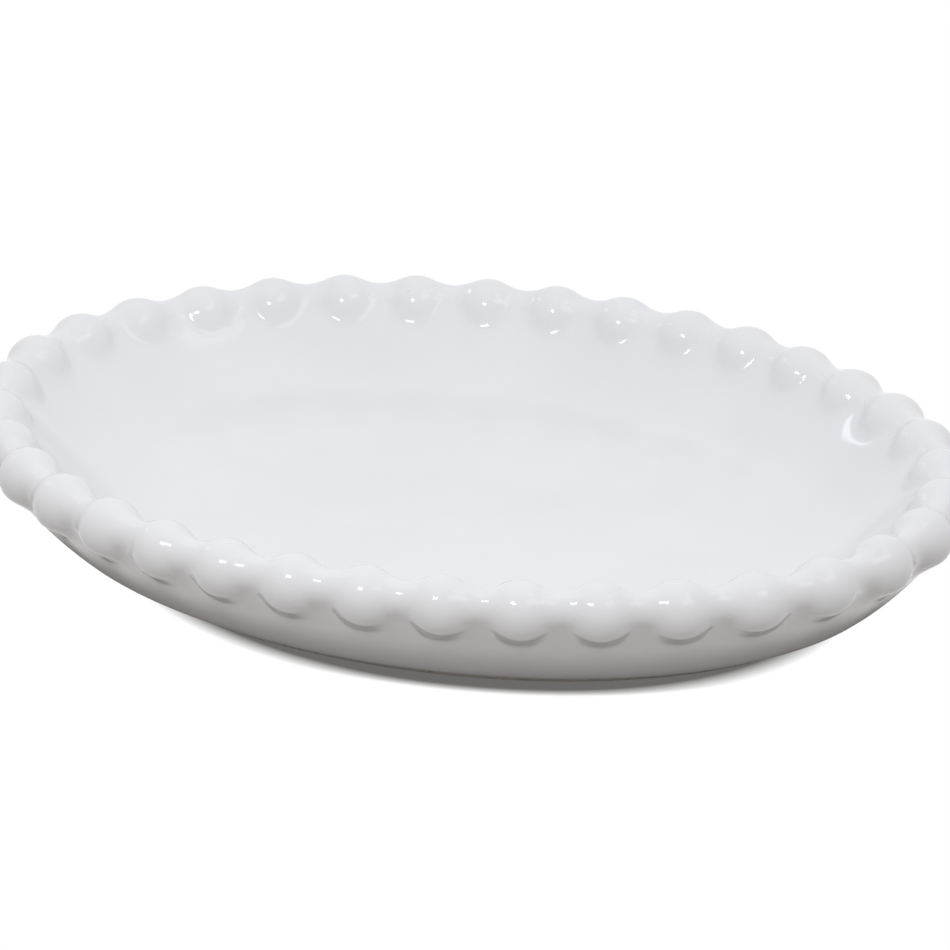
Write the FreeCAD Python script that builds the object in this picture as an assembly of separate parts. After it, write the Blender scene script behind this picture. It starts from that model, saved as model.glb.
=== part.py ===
import FreeCAD, Part
import math
import os

os.makedirs("parts", exist_ok=True)

# Sizes over the beads, in millimetres
OVERALL_LENGTH = 140.0
OVERALL_WIDTH = 106.0

# Beads set along the rim
BEAD_COUNT = 36
BEAD_DIAMETER = 7.9
BEAD_CENTRE_HEIGHT = 13.6

# Film of joining slip left between a piece and its seat
SLIP_FILM = 0.05

# Round roll along the rim, centred on the same oval as the beads
ROLL_DIAMETER = 5.3
OUTER_JOIN_ANGLE = 28.0  # degrees below the roll's centre where the outer wall runs in
INNER_JOIN_ANGLE = 40.0  # degrees above the roll's centre where the inner wall runs in

# Outer wall, as distances inward from the oval through the bead centres
BASE_INSET_END = 7.9
BASE_INSET_SIDE = 6.6
BELLY_INSET_END = 4.45
BELLY_INSET_SIDE = 3.7
BELLY_RISE = 2.0  # height of the belly's control level above the underside
OUTER_SWEEP = 4.0  # how far the wall keeps the roll's slope below the join

# Hollow of the dish, flat floor with a soft curve up to the rim
BASE_THICKNESS = 5.3
FLOOR_INSET_END = 16.5
FLOOR_INSET_SIDE = 15.5
FLOOR_SWEEP = 5.0  # how far the wall keeps the floor's slope outside the flat
INNER_SWEEP = 4.0  # how far the wall keeps the roll's slope below the join

# Bare ring that the dish stands on
FOOT_INSET_END = 10.2
FOOT_INSET_SIDE = 8.5
FOOT_RING_WIDTH = 4.0
FOOT_HEIGHT = 1.2
FOOT_SEAT_DEPTH = 0.6
FOOT_EDGE_RADIUS = 0.4

# The oval through the bead centres carries every other level of the dish
half_length = (OVERALL_LENGTH - BEAD_DIAMETER) / 2
half_width = (OVERALL_WIDTH - BEAD_DIAMETER) / 2
roll_radius = ROLL_DIAMETER / 2
bead_radius = BEAD_DIAMETER / 2
floor_height = FOOT_HEIGHT + BASE_THICKNESS


def level(end_offset, side_offset, height):
    """Half length, half width and height of one oval of the dish."""
    return (half_length + end_offset, half_width + side_offset, height)


def oval_edge(end_offset, side_offset, height):
    """Ellipse at a given outward offset from the bead oval."""
    long_half, short_half, z = level(end_offset, side_offset, height)
    return Part.Ellipse(FreeCAD.Vector(0, 0, z), long_half, short_half).toShape()


def oval_prism(end_offset, side_offset, low, high):
    """Upright solid with an oval outline between two heights."""
    outline = Part.Wire([oval_edge(end_offset, side_offset, low)])
    return Part.Face(outline).extrude(FreeCAD.Vector(0, 0, high - low))


# Height error under which an edge counts as level
FLATNESS = 1e-6

# Square net that draws one full circle as four quarter arcs
QUARTER_WEIGHT = math.sqrt(0.5)
CIRCLE_NET = [(1, 0), (1, 1), (0, 1), (-1, 1), (-1, 0), (-1, -1), (0, -1), (1, -1), (1, 0)]
CIRCLE_WEIGHTS = [1, QUARTER_WEIGHT, 1, QUARTER_WEIGHT, 1, QUARTER_WEIGHT, 1, QUARTER_WEIGHT, 1]
CIRCLE_MULTS = [3, 2, 2, 2, 3]
CIRCLE_KNOTS = [0, 1, 2, 3, 4]


def oval_band(levels, level_weights, mults, knots, degree):
    """Smooth face whose every level is an ellipse and whose section follows the given levels."""
    poles = []
    weights = []
    for net_point, net_weight in zip(CIRCLE_NET, CIRCLE_WEIGHTS):
        row = [FreeCAD.Vector(long_half * net_point[0], short_half * net_point[1], z)
               for long_half, short_half, z in levels]
        poles.append(row)
        weights.append([net_weight * weight for weight in level_weights])
    surface = Part.BSplineSurface()
    surface.buildFromPolesMultsKnots(
        poles, CIRCLE_MULTS, mults, CIRCLE_KNOTS, knots, False, False, 2, degree, weights)
    return surface.toShape()


def soft_band(levels):
    """Band with one smooth bend, drawn by four levels."""
    return oval_band(levels, [1, 1, 1, 1], [4, 4], [0, 1], 3)


def roll_point(angle):
    """Offset and height of a point on the rim roll, with the angle measured up from outward."""
    return (roll_radius * math.cos(angle), BEAD_CENTRE_HEIGHT + roll_radius * math.sin(angle))


def roll_slope(angle):
    """Unit direction along the rim roll, towards growing angle, as offset and height."""
    return (-math.sin(angle), math.cos(angle))


def roll_level(angle):
    """Oval level on the rim roll."""
    offset, height = roll_point(angle)
    return level(offset, offset, height)


def swept_level(angle, distance):
    """Oval level reached by leaving the rim roll in a straight line along its slope."""
    offset, height = roll_point(angle)
    slope = roll_slope(angle)
    offset += distance * slope[0]
    height += distance * slope[1]
    return level(offset, offset, height)


def roll_band(start, end):
    """Round top of the rim between two angles, as two exact arcs."""
    half_step = (end - start) / 4
    reach = roll_radius * math.tan(half_step)
    middle = (start + end) / 2
    levels = [roll_level(start), swept_level(start, reach), roll_level(middle),
              swept_level(middle, reach), roll_level(end)]
    corner_weight = math.cos(half_step)
    return oval_band(levels, [1, corner_weight, 1, corner_weight, 1], [3, 2, 3], [0, 1, 2], 2)


def level_face(band, height):
    """Flat oval face closing a band at one height."""
    flat_edges = [edge for edge in band.Edges
                  if abs(edge.BoundBox.ZMin - height) < FLATNESS
                  and abs(edge.BoundBox.ZMax - height) < FLATNESS]
    return Part.Face(Part.Wire(flat_edges))


def make_body():
    """Tray before any seat is cut, closed from underside to floor."""
    outer_join = -math.radians(OUTER_JOIN_ANGLE)
    inner_join = math.pi - math.radians(INNER_JOIN_ANGLE)
    outer_wall = soft_band([
        level(-BASE_INSET_END, -BASE_INSET_SIDE, FOOT_HEIGHT),
        level(-BELLY_INSET_END, -BELLY_INSET_SIDE, FOOT_HEIGHT + BELLY_RISE),
        swept_level(outer_join, -OUTER_SWEEP),
        roll_level(outer_join)])
    rim = roll_band(outer_join, inner_join)
    inner_wall = soft_band([
        roll_level(inner_join),
        swept_level(inner_join, INNER_SWEEP),
        level(FLOOR_SWEEP - FLOOR_INSET_END, FLOOR_SWEEP - FLOOR_INSET_SIDE, floor_height),
        level(-FLOOR_INSET_END, -FLOOR_INSET_SIDE, floor_height)])
    underside = level_face(outer_wall, FOOT_HEIGHT)
    floor = level_face(inner_wall, floor_height)
    shell = Part.Shell([underside, outer_wall, rim, inner_wall, floor])
    shell.sewShape()
    body = Part.Solid(shell)
    if body.Volume < 0:
        body.reverse()
    return body


def make_foot_ring():
    """Low oval ring with softened lower edges."""
    top = FOOT_HEIGHT + FOOT_SEAT_DEPTH
    outside = oval_prism(-FOOT_INSET_END, -FOOT_INSET_SIDE, 0, top)
    inside = oval_prism(-FOOT_INSET_END - FOOT_RING_WIDTH, -FOOT_INSET_SIDE - FOOT_RING_WIDTH, 0, top)
    ring = outside.cut(inside)
    lower_edges = [edge for edge in ring.Edges if edge.BoundBox.ZMax < FOOT_EDGE_RADIUS / 2]
    return ring.makeFillet(FOOT_EDGE_RADIUS, lower_edges)


def make_foot_groove():
    """Room under the tray for the foot ring and its film of slip."""
    top = FOOT_HEIGHT + FOOT_SEAT_DEPTH + SLIP_FILM
    outside = oval_prism(SLIP_FILM - FOOT_INSET_END, SLIP_FILM - FOOT_INSET_SIDE, 0, top)
    inward = FOOT_RING_WIDTH + SLIP_FILM
    inside = oval_prism(-FOOT_INSET_END - inward, -FOOT_INSET_SIDE - inward, 0, top)
    return outside.cut(inside)


bead_line = oval_edge(0, 0, BEAD_CENTRE_HEIGHT)
bead_centres = bead_line.discretize(BEAD_COUNT + 1)[:BEAD_COUNT]

seats = [Part.makeSphere(bead_radius + SLIP_FILM, centre) for centre in bead_centres]
tray = make_body().cut(seats).cut(make_foot_groove())
tray.exportStep("parts/tray.step")

make_foot_ring().exportStep("parts/foot_ring.step")

for number, centre in enumerate(bead_centres, start=1):
    bead = Part.makeSphere(bead_radius, centre)
    bead.exportStep("parts/bead_%02d.step" % number)

print("tray volume", tray.Volume, "valid", tray.isValid(), "solids", len(tray.Solids))
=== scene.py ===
"""Dressed model of a white glazed oval soap dish with a beaded rim."""

import logging
import math
from dataclasses import dataclass, field
from enum import Enum

import bpy
import numpy as np
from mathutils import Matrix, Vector


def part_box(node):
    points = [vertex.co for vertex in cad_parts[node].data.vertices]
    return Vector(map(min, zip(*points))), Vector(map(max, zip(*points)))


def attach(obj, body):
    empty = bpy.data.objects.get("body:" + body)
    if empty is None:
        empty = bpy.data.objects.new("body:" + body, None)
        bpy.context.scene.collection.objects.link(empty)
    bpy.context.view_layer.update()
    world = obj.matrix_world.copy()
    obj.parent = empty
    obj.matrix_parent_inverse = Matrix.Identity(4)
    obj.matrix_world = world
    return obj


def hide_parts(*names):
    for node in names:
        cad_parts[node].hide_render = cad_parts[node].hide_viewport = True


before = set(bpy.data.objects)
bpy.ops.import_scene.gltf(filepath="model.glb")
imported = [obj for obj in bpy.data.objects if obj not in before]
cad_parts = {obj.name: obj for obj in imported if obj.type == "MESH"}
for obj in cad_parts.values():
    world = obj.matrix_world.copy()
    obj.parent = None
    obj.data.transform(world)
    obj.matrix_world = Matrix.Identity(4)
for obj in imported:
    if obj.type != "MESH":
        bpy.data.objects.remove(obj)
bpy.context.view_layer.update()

LOG = logging.getLogger("soap_dish")
BODY = "root"
MM = 0.001
SEED = 36
WHITE = (1.0, 1.0, 1.0)
# Most values of a noise node lie in this range.
NOISE_SPAN = (0.3, 0.7)

Colour = tuple[float, float, float]
Pair = tuple[float, float]
Socket = bpy.types.NodeSocket
Source = Socket | Colour | float


class Slot(Enum):
    """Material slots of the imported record."""

    GLAZE = "glaze"
    BARE_CLAY = "bare_clay"


class Side(Enum):
    """Where a lamp stands round the dish."""

    FRONT = "front_lamp"
    LEFT = "left_lamp"
    RIGHT = "right_lamp"
    TOP = "top_lamp"


class Blend(Enum):
    """What a blending node works on."""

    COLOUR = "RGBA"
    NUMBER = "FLOAT"


def unit(vectors: np.ndarray) -> np.ndarray:
    """Scale vectors on the last axis to length one."""
    return vectors / np.linalg.norm(vectors, axis=-1, keepdims=True)


def closed_surface(name: str, rings: np.ndarray, first: np.ndarray, last: np.ndarray) -> bpy.types.Object:
    """Make a smooth closed mesh from rings of points and a pole at each end.

    The surface is a grid of rows by columns that wraps round in its columns. A fan of triangles
    joins the first ring to its pole and another joins the last ring to its own, so no hole is left.

    Args:
        name: name of the new object.
        rings: points as rows, columns and xyz.
        first: pole that closes the first ring.
        last: pole that closes the last ring.

    Returns:
        New object at the origin, linked to the scene.
    """
    rows, columns, _ = rings.shape
    points = np.concatenate([rings.reshape(-1, 3), first[None], last[None]])
    here = np.arange(columns)
    ahead = (here + 1) % columns
    base = (np.arange(rows - 1) * columns)[:, None]
    quads = np.stack([base + here, base + ahead, base + columns + ahead, base + columns + here], axis=-1)
    start_fan = np.stack([np.full(columns, rows * columns), ahead, here], axis=-1)
    end_row = (rows - 1) * columns
    end_fan = np.stack([np.full(columns, rows * columns + 1), end_row + here, end_row + ahead], axis=-1)
    if enclosed_volume(points, quads.reshape(-1, 4)) < 0:
        quads, start_fan, end_fan = quads[..., ::-1], start_fan[..., ::-1], end_fan[..., ::-1]
    corners = np.concatenate([quads.ravel(), start_fan.ravel(), end_fan.ravel()]).astype(np.int32)
    sides = np.concatenate([np.full((rows - 1) * columns, 4), np.full(2 * columns, 3)])
    starts = np.concatenate([[0], np.cumsum(sides)[:-1]]).astype(np.int32)
    mesh = bpy.data.meshes.new(name)
    mesh.vertices.add(len(points))
    mesh.vertices.foreach_set("co", points.astype(np.float32).ravel())
    mesh.loops.add(len(corners))
    mesh.loops.foreach_set("vertex_index", corners)
    mesh.polygons.add(len(starts))
    mesh.polygons.foreach_set("loop_start", starts)
    mesh.polygons.foreach_set("use_smooth", np.ones(len(starts), bool))
    mesh.update(calc_edges=True)
    mesh.validate()
    piece = bpy.data.objects.new(name, mesh)
    bpy.context.scene.collection.objects.link(piece)
    return piece


def enclosed_volume(points: np.ndarray, quads: np.ndarray) -> float:
    """Signed volume between a set of quads and the origin, positive where they face outwards.

    Args:
        points: vertex positions.
        quads: four vertex numbers per face.

    Returns:
        Sum over both halves of each quad.
    """
    a, b, c, d = (points[quads[:, k]] for k in range(4))
    first = np.einsum("ij,ij->i", a, np.cross(b, c))
    second = np.einsum("ij,ij->i", a, np.cross(c, d))
    return float((first + second).sum() / 6)


def point_attribute(piece: bpy.types.Object, name: str, values: np.ndarray) -> None:
    """Store one number per vertex, for the finish to read.

    Args:
        piece: object that gets the attribute.
        name: attribute name.
        values: one value per vertex.
    """
    layer = piece.data.attributes.new(name, "FLOAT", "POINT")
    layer.data.foreach_set("value", values.astype(np.float32).ravel())


@dataclass(frozen=True)
class NodePlan:
    """Small helper that lays shader nodes in one material or world."""

    tree: bpy.types.NodeTree

    def feed(self, source: Source, target: Socket) -> None:
        """Link a socket to an input, or set the input to a constant.

        Args:
            source: socket, colour, vector or number.
            target: input to feed.
        """
        if isinstance(source, Socket):
            self.tree.links.new(source, target)
        elif target.type == "RGBA":
            target.default_value = (*source, 1)
        else:
            target.default_value = source

    def fill(self, node: bpy.types.Node, **values: object) -> None:
        """Set a node's properties and feed its inputs.

        Args:
            node: node to fill.
            values: values by property or by input name, with _ for a space.
        """
        for key, value in values.items():
            if hasattr(node, key):
                setattr(node, key, value)
            else:
                self.feed(value, node.inputs[key.replace("_", " ")])

    def add(self, kind: str, *sources: Source, **values: object) -> bpy.types.Node:
        """Add a node.

        Args:
            kind: node type name.
            sources: what feeds the node's inputs, in order.
            values: values by property or by input name.

        Returns:
            The new node.
        """
        node = self.tree.nodes.new(kind)
        self.fill(node, **values)
        for source, target in zip(sources, node.inputs):
            self.feed(source, target)
        return node

    def noise(self, place: Socket, size: float, detail: float) -> Socket:
        """Cloudy noise of a given feature size.

        Args:
            place: place on the piece.
            size: rough size of one cloud in metres.
            detail: octaves of finer noise.

        Returns:
            Socket that runs from 0 to 1.
        """
        return self.add("ShaderNodeTexNoise", Vector=place, Scale=1 / size, Detail=detail).outputs["Fac"]

    def dots(self, place: Socket, size: float) -> Socket:
        """Distance to the nearest of many scattered points, as a share of their spacing.

        Args:
            place: place on the piece.
            size: spacing of the points in metres.

        Returns:
            Distance socket.
        """
        return self.add("ShaderNodeTexVoronoi", Vector=place, Scale=1 / size).outputs["Distance"]

    def ranged(self, source: Socket, span: Pair, target: Pair) -> Socket:
        """Stretch a value from one range to another.

        Args:
            source: value to stretch.
            span: values that map to the ends of the target.
            target: range of the result.

        Returns:
            Socket with the clamped result.
        """
        node = self.add("ShaderNodeMapRange", Value=source, From_Min=span[0], From_Max=span[1],
                        To_Min=target[0], To_Max=target[1])
        return node.outputs["Result"]

    def blend(self, share: Socket, low: Source, high: Source, kind: Blend = Blend.COLOUR) -> Socket:
        """Blend two colours or two numbers by a share.

        Args:
            share: 0 for the low one and 1 for the high one.
            low: first colour or number.
            high: second colour or number.
            kind: whether colours or numbers are blended.

        Returns:
            Socket with the blend.
        """
        node = self.add("ShaderNodeMix", data_type=kind.value, Factor=share, A=low, B=high)
        return node.outputs["Result"]

    def maths(self, operation: str, first: Source, second: Source) -> Socket:
        """Join two numbers by an operation.

        Args:
            operation: what to do with them.
            first: one number.
            second: the other number.

        Returns:
            Socket with the result.
        """
        return self.add("ShaderNodeMath", first, second, operation=operation).outputs["Value"]

    def bump(self, height: Socket, depth: float, under: Socket | None = None) -> Socket:
        """Turn a height into a shading normal.

        Args:
            height: value from 0 to 1.
            depth: depth in metres that 1 stands for.
            under: normal of the layer below, if any.

        Returns:
            Normal socket.
        """
        node = self.add("ShaderNodeBump", Height=height, Strength=1.0, Distance=depth)
        if under is not None:
            self.feed(under, node.inputs["Normal"])
        return node.outputs["Normal"]

    def background(self, lit: bpy.types.Node, seen: bpy.types.Node) -> Socket:
        """Shader that gives light in one way and is looked at in another.

        Camera, mirror and clear rays look at the background itself. All others gather its light.

        Args:
            lit: shader for rays that gather light.
            seen: shader for rays that look.

        Returns:
            Shader socket.
        """
        rays = self.add("ShaderNodeLightPath").outputs
        direct = self.maths("MAXIMUM", rays["Is Camera Ray"], rays["Is Glossy Ray"])
        looking = self.maths("MAXIMUM", direct, rays["Is Transmission Ray"])
        return self.add("ShaderNodeMixShader", looking, lit.outputs[0], seen.outputs[0]).outputs["Shader"]


@dataclass(frozen=True)
class WhiteGlaze:
    """Glossy white glaze, with painted shade in the creases under the balls, and duller on the floor and
    low down.
    """

    thin: Colour = (0.800, 0.805, 0.825)
    full: Colour = (0.820, 0.828, 0.855)
    # Painted shade: a grey laid on in the creases under the balls, and the largest share of it that is
    # used.
    crease_shade_colour: Colour = (0.56, 0.55, 0.545)
    crease_shade_share: float = 0.04
    cloud_size: float = 16 * MM
    ripple_size: float = 7 * MM
    ripple_depth: float = 0.012 * MM
    peel_size: float = 1.3 * MM
    peel_depth: float = 0.0012 * MM
    pinhole_spacing: float = 9 * MM
    pinhole_radius: float = 0.16 * MM
    pinhole_core: float = 0.4
    pinhole_depth: float = 0.06 * MM
    gloss_size: float = 11.9 * MM
    gloss: Pair = (0.06, 0.09)
    dull_heights: Pair = (6.8 * MM, 9.0 * MM)
    dulling: float = 0.11
    index: float = 1.45

    def material(self) -> bpy.types.Material:
        """Build the glaze.

        Returns:
            Material that reads Object coordinates and the painted crease shade attribute.
        """
        made = bpy.data.materials.new("white_glaze")
        made.use_nodes = True
        plan = NodePlan(made.node_tree)
        place = plan.add("ShaderNodeTexCoord").outputs["Object"]
        plan.fill(made.node_tree.nodes["Principled BSDF"], Base_Color=self.colour(plan, place),
                  Roughness=self.roughness(plan, place), Normal=self.normal(plan, place), IOR=self.index)
        return made

    def colour(self, plan: NodePlan, place: Socket) -> Socket:
        """Slow clouds between two whites, and painted shade in the creases under the balls.

        Args:
            plan: material's nodes.
            place: place on the piece.

        Returns:
            Colour socket.
        """
        cloud = plan.noise(place, self.cloud_size, detail=3)
        body = plan.blend(plan.ranged(cloud, NOISE_SPAN, (0, 1)), self.thin, self.full)
        painted_crease_shade = plan.add("ShaderNodeAttribute", attribute_name="painted_crease_shade").outputs["Fac"]
        # Painted shade in the creases, where the per-vertex attribute is high.
        return plan.blend(plan.ranged(painted_crease_shade, (0, 1), (0, self.crease_shade_share)), body, self.crease_shade_colour)

    def roughness(self, plan: NodePlan, place: Socket) -> Socket:
        """Uneven gloss, with more roughness low down.

        Args:
            plan: material's nodes.
            place: place on the piece.

        Returns:
            Roughness socket.
        """
        gloss = plan.ranged(plan.noise(place, self.gloss_size, detail=2), NOISE_SPAN, self.gloss)
        height = plan.add("ShaderNodeSeparateXYZ", place).outputs["Z"]
        return plan.maths("ADD", gloss, plan.ranged(height, self.dull_heights, (self.dulling, 0)))

    def normal(self, plan: NodePlan, place: Socket) -> Socket:
        """Slow ripples, fine peel and a few pinholes.

        Args:
            plan: material's nodes.
            place: place on the piece.

        Returns:
            Normal socket.
        """
        edge = self.pinhole_radius / self.pinhole_spacing
        hole = plan.ranged(plan.dots(place, self.pinhole_spacing), (edge * self.pinhole_core, edge), (0, 1))
        rippled = plan.bump(plan.noise(place, self.ripple_size, detail=1), self.ripple_depth)
        peeled = plan.bump(plan.noise(place, self.peel_size, detail=1), self.peel_depth, rippled)
        return plan.bump(hole, self.pinhole_depth, peeled)


@dataclass(frozen=True)
class BareClay:
    """Unglazed fired clay of the foot, sandy and matt."""

    pale: Colour = (0.66, 0.61, 0.54)
    dark: Colour = (0.52, 0.46, 0.39)
    speck: Colour = (0.30, 0.22, 0.16)
    grain_size: float = 0.5 * MM
    grain_depth: float = 0.03 * MM
    patch_size: float = 6 * MM
    speck_spacing: float = 1.6 * MM
    speck_edge: Pair = (0.12, 0.2)
    speck_share: float = 0.6
    roughness: Pair = (0.75, 0.95)

    def material(self) -> bpy.types.Material:
        """Build the bare clay.

        Returns:
            Material that reads Object coordinates.
        """
        made = bpy.data.materials.new("bare_fired_clay")
        made.use_nodes = True
        plan = NodePlan(made.node_tree)
        place = plan.add("ShaderNodeTexCoord").outputs["Object"]
        patch = plan.blend(plan.noise(place, self.patch_size, detail=4), self.dark, self.pale)
        speck = plan.ranged(plan.dots(place, self.speck_spacing), self.speck_edge, (self.speck_share, 0))
        grain = plan.noise(place, self.grain_size, detail=3)
        plan.fill(made.node_tree.nodes["Principled BSDF"], Base_Color=plan.blend(speck, patch, self.speck),
                  Roughness=plan.ranged(grain, NOISE_SPAN, self.roughness),
                  Normal=plan.bump(grain, self.grain_depth))
        return made


@dataclass(frozen=True)
class HandWarp:
    """Slow unevenness of a hand-finished dish, none at the foot and most at the rim."""

    rim_height: float
    depth: float = 0.14 * MM
    waves: tuple[float, ...] = (95 * MM, 70 * MM, 48 * MM, 33 * MM)

    def apply(self, points: np.ndarray) -> np.ndarray:
        """Lift or lower points by a few slow waves over the plan of the dish.

        The lift is a sum of cosines of x and y with seeded directions and phases, each as strong as
        its wave is long, times the square of the height as a share of the rim's.

        Args:
            points: positions with xyz on the last axis.

        Returns:
            Moved positions.
        """
        dice = np.random.default_rng(SEED)
        lift = np.zeros(points.shape[:-1])
        for wave in self.waves:
            turn, phase = dice.uniform(0, 2 * math.pi, 2)
            along = points[..., 0] * math.cos(turn) + points[..., 1] * math.sin(turn)
            lift = lift + np.cos(along * 2 * math.pi / wave + phase) * wave / self.waves[0]
        share = np.clip(points[..., 2] / self.rim_height, 0, 1) ** 2
        moved = points.copy()
        moved[..., 2] += lift * share * self.depth
        return moved


@dataclass
class RimOval:
    """Ellipse through the bead centres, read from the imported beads."""

    chords: int = 7200
    centres: np.ndarray = field(init=False)
    radius: float = field(init=False)
    half_length: float = field(init=False)
    half_width: float = field(init=False)
    height: float = field(init=False)

    def __post_init__(self) -> None:
        """Read the beads' places from the frame."""
        names = sorted(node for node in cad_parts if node.startswith("bead_"))
        boxes = np.array([[tuple(corner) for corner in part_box(name)] for name in names])
        self.centres = boxes.mean(axis=1)
        self.radius = float((boxes[:, 1, 2] - boxes[:, 0, 2]).mean() / 2)
        self.half_length = float(self.centres[:, 0].max())
        self.half_width = float(self.centres[:, 1].max())
        self.height = float(self.centres[:, 2].mean())

    @property
    def count(self) -> int:
        """Number of beads."""
        return len(self.centres)

    def angles(self, shares: np.ndarray) -> np.ndarray:
        """Ellipse parameters at given shares of the whole way round.

        The length along the ellipse is summed over short chords and read backwards.

        Args:
            shares: shares of the way round, from 0 at the +X end.

        Returns:
            Parameter angles.
        """
        fine = np.linspace(0, 2 * math.pi, self.chords + 1)
        path = np.stack([self.half_length * np.cos(fine), self.half_width * np.sin(fine)])
        run = np.concatenate([[0], np.cumsum(np.hypot(*np.diff(path)))])
        return np.interp(np.mod(shares, 1) * run[-1], run, fine)

    def level(self, angles: np.ndarray, ends: np.ndarray, sides: np.ndarray,
              heights: np.ndarray) -> np.ndarray:
        """Points on ovals that stand off from the rim oval.

        Each is (half length + end offset) times the cosine, (half width + side offset) times the
        sine, and the height.

        Args:
            angles: parameter angles, one per column.
            ends: offsets at the two ends, one per row.
            sides: offsets at the two long sides, one per row.
            heights: heights, one per row.

        Returns:
            Points as rows, columns and xyz.
        """
        x = (self.half_length + ends)[:, None] * np.cos(angles)
        y = (self.half_width + sides)[:, None] * np.sin(angles)
        return np.stack([x, y, np.broadcast_to(heights[:, None], x.shape)], axis=-1)

    def tangents(self, angles: np.ndarray) -> np.ndarray:
        """Unit directions along the oval.

        Args:
            angles: parameter angles.

        Returns:
            One level unit vector per angle.
        """
        along = np.stack([-self.half_length * np.sin(angles), self.half_width * np.cos(angles),
                          np.zeros_like(angles)], axis=-1)
        return unit(along)


@dataclass
class BeadRow:
    """Round clay balls along the rim, each a little uneven and pressed flatter underneath."""

    oval: RimOval
    warp: HandWarp
    slip: float = 0.10 * MM
    slip_shares: tuple[float, float, float] = (1.0, 0.3, 0.4)
    swell: float = 0.012
    trim: float = 0.17
    trim_turn: float = math.radians(-66)
    trim_width: float = math.radians(38)
    columns: int = 72
    rows: int = 46
    places: np.ndarray = field(init=False)
    axes: np.ndarray = field(init=False)
    radii: np.ndarray = field(init=False)

    def __post_init__(self) -> None:
        """Settle each ball's place, its three radii, and its axes along, out from and above the rim."""
        dice = np.random.default_rng(SEED + 1)
        count = self.oval.count
        angles = np.arctan2(self.oval.centres[:, 1] / self.oval.half_width,
                            self.oval.centres[:, 0] / self.oval.half_length)
        along = self.oval.tangents(angles)
        upright = np.broadcast_to([0.0, 0.0, 1.0], along.shape)
        self.axes = np.stack([along, np.cross(along, upright), upright], axis=1)
        shift = dice.normal(0, 1, (count, 3)) * self.slip * np.array(self.slip_shares)
        self.places = self.oval.centres + np.einsum("ij,ijk->ik", shift, self.axes)
        self.radii = self.oval.radius * (1 - self.swell + dice.uniform(-1, 1, (count, 3)) * self.swell)

    def trimmed(self, out: np.ndarray, up: np.ndarray) -> np.ndarray:
        """Share of a ball's radius that is left where its underside is pressed onto the wall.

        It is one less a bell curve of the angle up from outward.

        Args:
            out: outward parts of directions from the ball's middle line.
            up: upward parts of the same directions.

        Returns:
            Factor for each direction.
        """
        turn = np.arctan2(up, out)
        return 1 - self.trim * np.exp(-((turn - self.trim_turn) / self.trim_width) ** 2)

    def reach(self, start: np.ndarray, heading: np.ndarray, which: np.ndarray) -> np.ndarray:
        """Distance from points on the rim oval out to the skin of a ball.

        In a ball's own axes, divided by its radii, the skin is the unit sphere, so the distance is
        the larger root of a quadratic, times the share of the radius that is left that way.

        Args:
            start: points on the oval, one per column.
            heading: unit directions as rows, columns and xyz.
            which: ball number for each column.

        Returns:
            Distances as rows and columns, below zero where the ball is missed.
        """
        scaled = self.axes[which] / self.radii[which][:, :, None]
        origin = np.einsum("cij,cj->ci", scaled, start - self.places[which])
        ray = np.einsum("cij,rcj->rci", scaled, heading)
        square = (ray ** 2).sum(axis=-1)
        half = (ray * origin).sum(axis=-1)
        rest = (origin ** 2).sum(axis=-1) - 1
        under = half ** 2 - square * rest
        outward = np.einsum("rcj,cj->rc", heading, self.axes[which, 1])
        far = (np.sqrt(np.maximum(under, 0)) - half) / square * self.trimmed(outward, heading[..., 2])
        return np.where(under > 0, far, -1.0)

    def build(self, glaze: bpy.types.Material) -> list[bpy.types.Object]:
        """Make one closed ball per packed bead.

        A ball is the unit sphere in latitude and longitude with its poles along the rim, scaled by
        three radii, trimmed underneath and set at its place.

        Args:
            glaze: finish of the balls.

        Returns:
            The new pieces.
        """
        lat = np.linspace(0, math.pi, self.rows + 2)[1:-1, None]
        lon = np.linspace(0, 2 * math.pi, self.columns, endpoint=False)[None, :]
        sphere = np.stack([np.cos(lat) + 0 * lon, np.sin(lat) * np.cos(lon), np.sin(lat) * np.sin(lon)],
                          axis=-1)
        pole = np.array([1.0, 0.0, 0.0])
        made = []
        for number in range(self.oval.count):
            own = sphere * self.radii[number]
            own[..., 1:] *= self.trimmed(own[..., 1], own[..., 2])[..., None]
            rings = self.warp.apply(own @ self.axes[number] + self.places[number])
            tips = np.stack([pole, -pole]) * self.radii[number]
            ends = self.warp.apply(tips @ self.axes[number] + self.places[number])
            node = "bead_%02d" % (number + 1)
            piece = closed_surface("glazed_" + node, rings, ends[0], ends[1])
            # The balls get no painted crease shade.
            point_attribute(piece, "painted_crease_shade", np.zeros(len(piece.data.vertices)))
            piece.data.materials.append(glaze)
            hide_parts(node)
            made.append(piece)
        return made


@dataclass(frozen=True)
class TurnTable:
    """Value that changes with the angle round the rim's section, in degrees up from outward."""

    turns: tuple[float, ...]
    values: tuple[float, ...]

    def at(self, turn: np.ndarray) -> np.ndarray:
        """Values at given angles, one per row, ready to spread over the columns."""
        return np.interp(turn, self.turns, self.values)[:, None]


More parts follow.
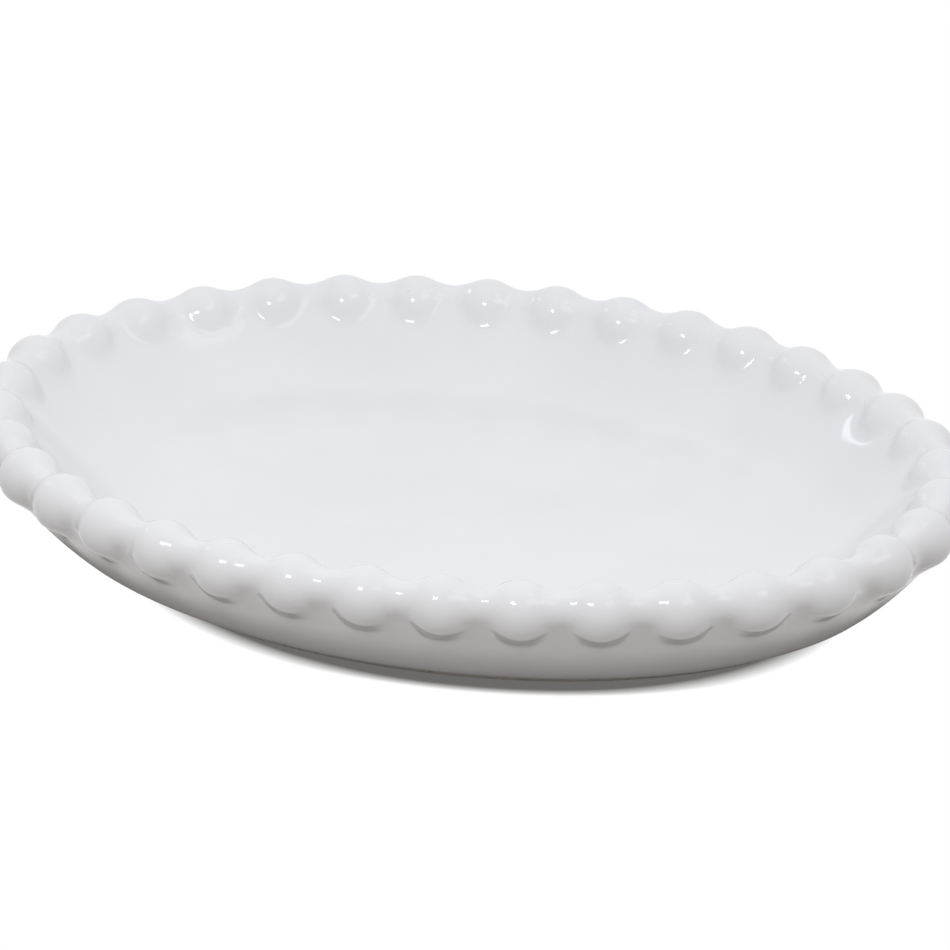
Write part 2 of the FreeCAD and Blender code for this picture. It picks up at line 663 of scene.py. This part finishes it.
@dataclass
class Tray:
    """Oval floor, flared wall and rim roll, with glaze drawn up in a fillet round each ball.

    Insets and sweeps shape the plain section. The turn tables for fillet, swell and pocket are in
    millimetres. A pocket below zero fills the neck between two balls.
    """

    oval: RimOval
    beads: BeadRow
    warp: HandWarp
    outer_join: float = math.radians(28)
    inner_join: float = math.radians(40)
    base_inset: Pair = (7.9 * MM, 6.6 * MM)
    belly_inset: Pair = (4.45 * MM, 3.7 * MM)
    belly_rise: float = 2.0 * MM
    outer_sweep: float = 4.0 * MM
    floor_inset: Pair = (16.5 * MM, 15.5 * MM)
    floor_height: float = 6.5 * MM
    floor_sweep: float = 5.0 * MM
    inner_sweep: float = 4.0 * MM
    corner_soften: float = 0.35 * MM
    part_points: int = 400
    line_points: int = 6001
    row_reach: tuple[float, ...] = (3.0 * MM, 4.5 * MM, 8 * MM, 16 * MM, 50 * MM)
    row_spacing: tuple[float, ...] = (0.18 * MM, 0.36 * MM, 0.9 * MM, 2.0 * MM, 8 * MM)
    columns_per_bead: int = 22
    crowding: float = 0.4
    first_turn: float = -135.0
    dip: float = 0.15 * MM
    dip_run: float = 0.25 * MM
    cover: float = 0.05 * MM
    cover_turns: Pair = (-25, 5)
    fillet: TurnTable = TurnTable((-100, -70, -40, 0, 120, 160, 190, 230),
                                  (2.2, 2.2, 1.9, 1.0, 0.8, 1.1, 1.6, 1.6))
    # Angles round the section where shade is painted into the crease under each ball.
    crease: TurnTable = TurnTable((-62, -42), (1.0, 0.0))
    swell: TurnTable = TurnTable((-85, -60, -30, 0, 100, 140, 165, 190, 215),
                                 (0.0, 0.40, 1.05, 1.40, 1.42, 1.12, 0.6, 0.25, 0.0))
    swell_reach: Pair = (4.2 * MM, 8.0 * MM)
    pocket: TurnTable = TurnTable((-110, -80, -55, -25, 0, 30, 60, 90, 118, 160),
                                  (0.30, 0.38, 0.40, 0.30, 0.08, -0.15, -0.36, -0.30, 0.0, 0.0))
    pocket_reach: Pair = (5.0 * MM, 13.0 * MM)
    underside: float = field(init=False)
    roll: float = field(init=False)

    def __post_init__(self) -> None:
        """Read the underside and the roll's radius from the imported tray."""
        low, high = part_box("tray")
        self.underside = low.z
        self.roll = high.z - self.oval.height

    def on_roll(self, angle: np.ndarray, sweep: float = 0.0) -> np.ndarray:
        """Point on the rim roll, or off it along its slope.

        Args:
            angle: angle up from outward.
            sweep: distance along the slope, towards growing angle.

        Returns:
            End offset, side offset and height on the last axis.
        """
        out = self.roll * np.cos(angle) - sweep * np.sin(angle)
        up = self.oval.height + self.roll * np.sin(angle) + sweep * np.cos(angle)
        return np.stack([out, out, up], axis=-1)

    def section(self) -> np.ndarray:
        """Half section from the middle of the underside, round the rim, to the middle of the floor.

        The wall's two faces are cubic curves with four control levels, the rim is an arc, and the
        underside and floor are straight. The joined line is averaged over a short run, which
        rounds its corners.

        Returns:
            Dense line of end offset, side offset and height.
        """
        share = np.linspace(0, 1, self.part_points)[:, None]
        middle = np.array([-self.oval.half_length, -self.oval.half_width])
        base = -np.array(self.base_inset)
        belly = -np.array(self.belly_inset)
        flat = -np.array(self.floor_inset)
        start, end = -self.outer_join, math.pi - self.inner_join

        def cubic(a: np.ndarray, b: np.ndarray, c: np.ndarray, d: np.ndarray) -> np.ndarray:
            """Cubic curve with control points a, b, c and d."""
            back = 1 - share
            return back ** 3 * a + 3 * back ** 2 * share * b + 3 * back * share ** 2 * c + share ** 3 * d

        def at(level: np.ndarray, height: float) -> np.ndarray:
            """Level and height as one point."""
            return np.array([*level, height])

        parts = [
            at(middle, self.underside) + share * (at(base, 0) - at(middle, 0)),
            cubic(at(base, self.underside), at(belly, self.underside + self.belly_rise),
                  self.on_roll(np.array(start), -self.outer_sweep), self.on_roll(np.array(start))),
            self.on_roll(start + share[:, 0] * (end - start)),
            cubic(self.on_roll(np.array(end)), self.on_roll(np.array(end), self.inner_sweep),
                  at(flat + self.floor_sweep, self.floor_height), at(flat, self.floor_height)),
            at(flat, self.floor_height) + share * (at(middle, 0) - at(flat, 0)),
        ]
        line = np.concatenate([parts[0]] + [part[1:] for part in parts[1:]])
        run = np.concatenate([[0], np.cumsum(np.hypot(np.diff(line[:, 1]), np.diff(line[:, 2])))])
        even = np.linspace(0, run[-1], self.line_points)
        line = np.stack([np.interp(even, run, line[:, k]) for k in range(3)], axis=-1)
        width = max(1, int(self.corner_soften / even[1]))
        kernel = np.ones(2 * width + 1) / (2 * width + 1)
        soft = np.stack([np.convolve(line[:, k], kernel, mode="same") for k in range(3)], axis=-1)
        inside = slice(2 * width, -2 * width)
        line[inside] = soft[inside]
        return line

    def rows(self, line: np.ndarray) -> np.ndarray:
        """Pick the section's rows, close together round the rim and further apart elsewhere.

        Args:
            line: dense section.

        Returns:
            End offset, side offset and height of each row.
        """
        reach = np.hypot(line[:, 1], line[:, 2] - self.oval.height)
        crowd = 1 / np.interp(reach, self.row_reach, self.row_spacing)
        step = np.hypot(np.diff(line[:, 1]), np.diff(line[:, 2]))
        tally = np.concatenate([[0], np.cumsum(step * (crowd[1:] + crowd[:-1]) / 2)])
        picks = np.linspace(0, tally[-1], int(tally[-1]) + 1)[1:-1]
        return np.stack([np.interp(picks, tally, line[:, k]) for k in range(3)], axis=-1)

    def columns(self) -> tuple[np.ndarray, np.ndarray, np.ndarray]:
        """Angles of the columns, the ball that each is nearest to and how far off that ball is.

        Within one bead spacing the columns crowd towards the ball's flanks: a share v of the
        spacing moves to v plus a small sine of four pi v.

        Returns:
            Angles, ball numbers, and offsets as shares of the bead spacing.
        """
        count = self.oval.count
        even = (np.arange(self.columns_per_bead) + 0.5) / self.columns_per_bead - 0.5
        moved = even + self.crowding * np.sin(4 * math.pi * even) / (4 * math.pi)
        shares = (np.arange(count)[:, None] + moved).ravel() / count
        return self.oval.angles(shares), np.repeat(np.arange(count), len(even)), np.tile(moved, count)

    def scalloped(self, distance: np.ndarray, turn: np.ndarray, offset: np.ndarray) -> np.ndarray:
        """Distance to the rim's skin once it swells at each ball and is hollowed or filled between.

        The swell follows a raised cosine of the way along the spacing, and the pocket follows one
        less that cosine. Both fade out with the distance from the rim oval.

        Args:
            distance: distance to the plain skin, as rows and columns.
            turn: angle of each row.
            offset: how far off its ball each column is, as a share of the spacing.

        Returns:
            New distances.
        """
        wave = (1 + np.cos(2 * math.pi * offset)) / 2
        swell = self.swell.at(turn) * MM * np.interp(distance, self.swell_reach, (1, 0))
        pocket = self.pocket.at(turn) * MM * np.interp(distance, self.pocket_reach, (1, 0))
        return distance + swell * wave - pocket * (1 - wave)

    def surface(self) -> tuple[np.ndarray, np.ndarray]:
        """Grid of the tray's skin and how much painted shade its creases get.

        A point of the scalloped tray is seen from the rim oval at some distance, and the ball nearest
        to it is met at another distance in the same direction. The skin is the smooth maximum of the
        two: their maximum plus a quarter of the fillet size times the squared share by which they
        are closer than that size. Where a ball stands clear, the skin dips just under it on the outer
        lower side and covers it thinly elsewhere. Shade is painted into the colour in the creases under the
        balls.

        Returns:
            Points as rows, columns and xyz, and the painted crease shade of each.
        """
        rows = self.rows(self.section())
        angles, which, offset = self.columns()
        plain = self.oval.level(angles, rows[:, 0], rows[:, 1], rows[:, 2])
        nil = np.zeros(1)
        spine = self.oval.level(angles, nil, nil, nil + self.oval.height)[0]
        away = plain - spine
        distance = np.linalg.norm(away, axis=-1)
        heading = away / distance[..., None]
        turn = np.degrees(np.arctan2(rows[:, 2] - self.oval.height, rows[:, 1]))
        turn = np.where(turn < self.first_turn, turn + 360, turn)
        wall = self.scalloped(distance, turn, offset)
        ball = self.beads.reach(spine, heading, which)
        lead = ball - wall
        fillet = self.fillet.at(turn) * MM
        close = np.clip(1 - np.abs(lead) / fillet, 0, 1)
        skin = np.maximum(ball, wall) + close ** 2 * fillet / 4
        clear = np.maximum(lead - fillet, 0)
        bare = TurnTable(self.cover_turns, (self.dip + self.cover, 0)).at(turn) - self.cover
        skin = skin - bare * (1 - np.exp(-(clear / self.dip_run) ** 2))
        # The second value is painted crease shade, strong where ball and wall meet in a crease.
        return spine + heading * skin[..., None], close * self.crease.at(turn)

    def build(self, glaze: bpy.types.Material) -> bpy.types.Object:
        """Make the tray.

        Args:
            glaze: finish of the tray.

        Returns:
            The new piece.
        """
        rings, painted_crease_shade = self.surface()
        poles = self.warp.apply(np.array([[0, 0, self.underside], [0, 0, self.floor_height]]))
        piece = closed_surface("glazed_tray", self.warp.apply(rings), poles[0], poles[1])
        # The tray stores its painted crease shade per vertex.
        point_attribute(piece, "painted_crease_shade", np.concatenate([painted_crease_shade.ravel(), [0, 0]]))
        piece.data.materials.append(glaze)
        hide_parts("tray")
        return piece


@dataclass(frozen=True)
class FootRing:
    """Bare ring under the tray, shown as packed."""

    node: str = "foot_ring"

    def dress(self, clay: bpy.types.Material) -> bpy.types.Object:
        """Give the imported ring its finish.

        Args:
            clay: finish of the ring.

        Returns:
            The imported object.
        """
        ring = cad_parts[self.node]
        ring.data.materials.clear()
        ring.data.materials.append(clay)
        return ring


@dataclass(frozen=True)
class Bearing:
    """Place in the room: degrees from -Y towards +X, degrees above the table, metres from the aim."""

    azimuth: float
    elevation: float
    distance: float

    def hold(self, thing: bpy.types.Object, aim: Vector) -> None:
        """Set a lamp or the camera here, facing the dish.

        Args:
            thing: object to place and link to the scene.
            aim: point that it faces.
        """
        turn, rise = math.radians(self.azimuth), math.radians(self.elevation)
        back = Vector((math.sin(turn) * math.cos(rise), -math.cos(turn) * math.cos(rise), math.sin(rise)))
        thing.location = aim + back * self.distance
        thing.rotation_euler = (-back).to_track_quat("-Z", "Y").to_euler()
        bpy.context.scene.collection.objects.link(thing)


@dataclass(frozen=True)
class SoftBox:
    """Flat lamp with its place, its width and height in metres, and its power in watts."""

    side: Side
    bearing: Bearing
    size: Pair
    power: float
    colour: Colour = WHITE

    def build(self, aim: Vector) -> None:
        """Add the lamp.

        Args:
            aim: point that it faces.
        """
        data = bpy.data.lights.new(self.side.value, "AREA")
        data.shape = "RECTANGLE"
        data.size, data.size_y = self.size
        data.energy = self.power
        data.color = self.colour
        self.bearing.hold(bpy.data.objects.new(self.side.value, data), aim)


@dataclass(frozen=True)
class Table:
    """Pale table that glows white where it is looked at, with the dish's shadow painted into the glow
    inside an oval.
    """

    size: float = 6.0
    drop: float = 0.02 * MM
    colour: Colour = (0.422, 0.389, 0.365)
    # Painted shade and shadow: near the dish the white glow is darkened towards the shadow tone by an
    # occlusion measure, over a longer reach for mirror rays and a short one, cut at the oval, for the
    # camera.
    mirror_shade_reach: float = 5.0 * MM
    mirror_shade_span: Pair = (0.45, 0.95)
    shadow_reach: float = 2.5 * MM
    shadow_span: Pair = (0.50, 0.90)
    shadow_tone: Colour = (0.15, 0.145, 0.14)
    shadow_centre: Pair = (5.0 * MM, -5.5 * MM)
    shadow_oval: Pair = (49.2 * MM, 37.6 * MM)
    shadow_edge: Pair = (0.975, 1.05)

    def openness(self, plan: NodePlan, reach: float, span: Pair) -> Socket:
        """How free the table is of things close above it.

        Args:
            plan: material's nodes.
            reach: how far up to look, in metres.
            span: open shares that count as 0 and as 1.

        Returns:
            Socket from 0 in the shadow to 1 in the open.
        """
        near = plan.add("ShaderNodeAmbientOcclusion", Distance=reach)
        return plan.ranged(near.outputs["AO"], span, (0, 1))

    def beyond(self, plan: NodePlan) -> Socket:
        """How far a place lies outside the shadow's oval.

        The place, less the oval's centre and divided by its half sizes, has length one on the oval.

        Args:
            plan: material's nodes.

        Returns:
            Socket from 0 inside to 1 outside.
        """
        place = plan.add("ShaderNodeTexCoord").outputs["Object"]
        shares = [1 / half for half in self.shadow_oval]
        start = [-middle * share for middle, share in zip(self.shadow_centre, shares)]
        scaled = plan.add("ShaderNodeVectorMath", place, (*shares, 0), (*start, 0),
                          operation="MULTIPLY_ADD")
        length = plan.add("ShaderNodeVectorMath", scaled.outputs["Vector"], operation="LENGTH")
        return plan.ranged(length.outputs["Value"], self.shadow_edge, (0, 1))

    def material(self) -> bpy.types.Material:
        """Build the table's surface.

        Returns:
            Material that glows white where it is looked at, with a painted shadow and painted shade near
            the dish, and is pale and matt for other rays.
        """
        made = bpy.data.materials.new("white_table")
        made.use_nodes = True
        made.node_tree.nodes.clear()
        plan = NodePlan(made.node_tree)
        # Painted shadow for the camera, kept inside the oval.
        contact_shadow = plan.maths("MAXIMUM", self.openness(plan, self.shadow_reach, self.shadow_span),
                             self.beyond(plan))
        # Painted shade of the table as seen in mirror rays.
        mirror_shade = self.openness(plan, self.mirror_shade_reach, self.mirror_shade_span)
        camera_ray = plan.add("ShaderNodeLightPath").outputs["Is Camera Ray"]
        light = plan.blend(camera_ray, mirror_shade, contact_shadow, Blend.NUMBER)
        seen = plan.add("ShaderNodeEmission", Color=plan.blend(light, self.shadow_tone, WHITE))
        lit = plan.add("ShaderNodeBsdfDiffuse", Color=self.colour)
        plan.add("ShaderNodeOutputMaterial", Surface=plan.background(lit, seen))
        return made

    def build(self) -> bpy.types.Object:
        """Make the table, a hair below the foot.

        Returns:
            The floor object.
        """
        half, down = self.size / 2, -self.drop
        corners = [(-half, -half, down), (half, -half, down), (half, half, down), (-half, half, down)]
        mesh = bpy.data.meshes.new("table")
        mesh.from_pydata(corners, [], [(0, 1, 2, 3)])
        table = bpy.data.objects.new("table", mesh)
        bpy.context.scene.collection.objects.link(table)
        mesh.materials.append(self.material())
        return table


@dataclass(frozen=True)
class LightTent:
    """Soft white sky, brighter overhead, and plain white where it is looked at."""

    slope: tuple[float, float, float] = (0.0, 0.0, 0.44)
    level: float = 0.506

    def build(self) -> None:
        """Set the sky, whose strength is the level plus the slope along the ray."""
        world = bpy.data.worlds.new("light_tent")
        world.use_nodes = True
        world.node_tree.nodes.clear()
        bpy.context.scene.world = world
        plan = NodePlan(world.node_tree)
        heading = plan.add("ShaderNodeTexCoord").outputs["Generated"]
        rise = plan.add("ShaderNodeVectorMath", heading, self.slope, operation="DOT_PRODUCT")
        strength = plan.maths("ADD", rise.outputs["Value"], self.level)
        soft = plan.add("ShaderNodeBackground", Color=WHITE, Strength=strength)
        white = plan.add("ShaderNodeBackground", Color=WHITE, Strength=1.0)
        plan.add("ShaderNodeOutputWorld", Surface=plan.background(soft, white))


@dataclass(frozen=True)
class PictureCamera:
    """Long lens at the viewing angle of the picture."""

    bearing: Bearing = Bearing(26.64, 23.12, 0.9516)
    sensor: float = 36.0
    lens: float = 269.69
    shift: Pair = (0.0095, -0.0252)
    clip: Pair = (0.01, 50.0)

    def build(self, aim: Vector) -> None:
        """Add the camera and make it the scene's own.

        Args:
            aim: point that it faces.
        """
        data = bpy.data.cameras.new("camera")
        data.sensor_width = self.sensor
        data.lens = self.lens
        data.shift_x, data.shift_y = self.shift
        data.clip_start, data.clip_end = self.clip
        camera = bpy.data.objects.new("camera", data)
        self.bearing.hold(camera, aim)
        bpy.context.scene.camera = camera


@dataclass(frozen=True)
class Studio:
    """White table, soft light from above and the camera."""

    aim: Vector
    lamps: tuple[SoftBox, ...] = (
        SoftBox(Side.FRONT, Bearing(-4, 41, 0.24), (0.060, 0.036), 0.070),
        SoftBox(Side.LEFT, Bearing(-104, 31, 0.60), (0.07, 0.05), 0.04, (0.82, 0.91, 1.0)),
        SoftBox(Side.RIGHT, Bearing(68, 50, 0.70), (0.38, 0.24), 0.42),
        SoftBox(Side.TOP, Bearing(104, 66, 0.70), (0.20, 0.12), 0.08),
    )

    def build(self) -> None:
        """Set up the table, light and camera."""
        bpy.context.scene.view_settings.view_transform = "Standard"
        Table().build()
        LightTent().build()
        for lamp in self.lamps:
            lamp.build(self.aim)
        PictureCamera().build(self.aim)


def main() -> None:
    """Build the dish, dress it and set the stage."""
    logging.basicConfig(level=logging.INFO, format="%(name)s: %(message)s")
    glaze = WhiteGlaze().material()
    clay = BareClay().material()
    oval = RimOval()
    warp = HandWarp(rim_height=oval.height)
    beads = BeadRow(oval, warp)
    tray = Tray(oval, beads, warp)
    pieces = [tray.build(glaze)] + beads.build(glaze)
    for piece in pieces:
        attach(piece, BODY)
        LOG.info("%s has %d faces", piece.name, len(piece.data.polygons))
    ring = FootRing().dress(clay)
    LOG.info("%s keeps its packed shape and its slot %s", ring.name, Slot.BARE_CLAY.value)
    Studio(aim=Vector((0.0, 0.0, oval.height))).build()


if __name__ == "__main__":
    main()
